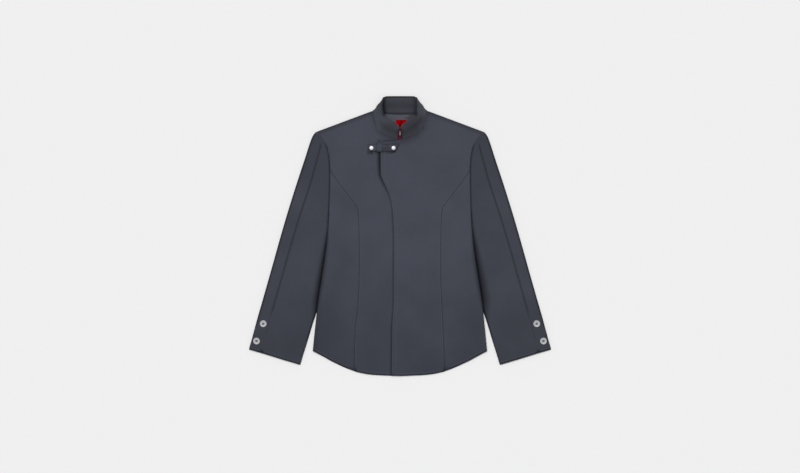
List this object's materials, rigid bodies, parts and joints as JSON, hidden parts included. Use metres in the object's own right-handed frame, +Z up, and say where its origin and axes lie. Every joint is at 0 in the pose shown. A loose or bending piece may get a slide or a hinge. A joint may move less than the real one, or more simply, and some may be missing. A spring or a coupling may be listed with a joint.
{
  "type": "overshirt",
  "caption": "Men's stand-collar overshirt with an off-centre lap over its zip, a tabbed neck fastening and two-piece sleeves, laid flat.",
  "frame": {"origin": "on the table, in the middle of the garment's outline", "axes": "+X toward the wearer's left cuff, +Y toward the collar, +Z up from the table"},
  "size_m": [0.826, 0.77, 0.033],
  "materials": {
    "cloth": "fine slate-blue twill, matte",
    "lining": "plain-woven lining, slight sheen",
    "label": "red woven satin, bare",
    "zip_tape": "dark red woven tape with coil teeth",
    "metal": "polished nickel plate",
    "button": "pale grey polyester, polished rim"
  },
  "bodies": {
    "garment": {"back_body": "cloth", "side_front_left": "cloth", "side_front_right": "cloth", "front_right": "cloth", "front_left": "cloth", "sleeve_front_left": "cloth", "sleeve_front_right": "cloth", "sleeve_back_left": "cloth", "sleeve_back_right": "cloth", "collar": "cloth", "back_neck_facing": "lining", "label": "label", "zip_tape": "zip_tape", "zip_slider": "metal", "tab": "cloth", "tab_keeper": "cloth", "snap_cap_right": "metal", "snap_cap_left": "metal", "cuff_button_upper_left": "button", "cuff_button_upper_right": "button", "cuff_button_lower_left": "button", "cuff_button_lower_right": "button"},
    "zip_pull": {"zip_pull": "metal"}
  },
  "joints": [
    {"name": "zip_pull_hinge", "type": "hinge", "parent": "garment", "child": "zip_pull", "pos_m": [0, 0.28836, 0.02909], "axis": [-1, 0, 0], "range_deg": [0, 150]}
  ]
}
